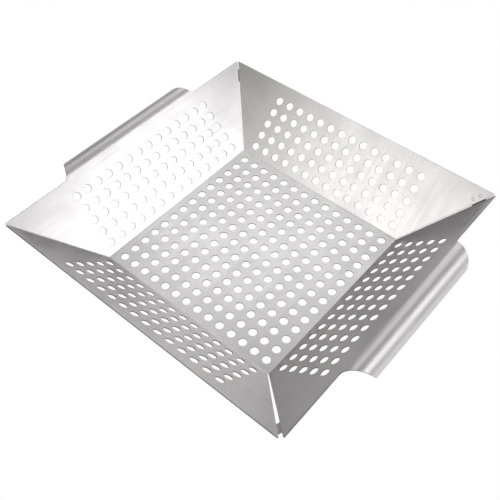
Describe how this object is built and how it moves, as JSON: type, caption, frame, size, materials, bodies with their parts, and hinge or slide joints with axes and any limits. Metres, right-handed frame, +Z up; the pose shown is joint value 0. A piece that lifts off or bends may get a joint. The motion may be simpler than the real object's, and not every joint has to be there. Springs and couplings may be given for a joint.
{
  "type": "grill basket",
  "caption": "Square open grill basket of perforated sheet steel with sloping walls, curled rim handles and spot-welded corner tabs.",
  "frame": {"origin": "centre of the floor's underside, where the basket rests", "axes": "+Z up out of the basket, +X towards one handle (the right wall), -Y towards the front wall; the corner between them has the widest seam"},
  "size_m": [0.3472, 0.3054, 0.0589],
  "materials": {
    "stainless_sheet": "fine brushed stainless, satin",
    "stainless_handle": "brushed stainless with faint forming streaks along the curl",
    "stainless_tab": "brushed stainless, sheared edges",
    "weld_metal": "dull resistance weld"
  },
  "bodies": {
    "root": {"floor_panel": "stainless_sheet", "wall_right": "stainless_sheet", "wall_left": "stainless_sheet", "wall_front": "stainless_sheet", "wall_back": "stainless_sheet", "handle_right": "stainless_handle", "handle_left": "stainless_handle", "corner_tab_front_right": "stainless_tab", "corner_tab_front_left": "stainless_tab", "corner_tab_back_left": "stainless_tab", "corner_tab_back_right": "stainless_tab", "spot_welds": "weld_metal"}
  },
  "joints": []
}
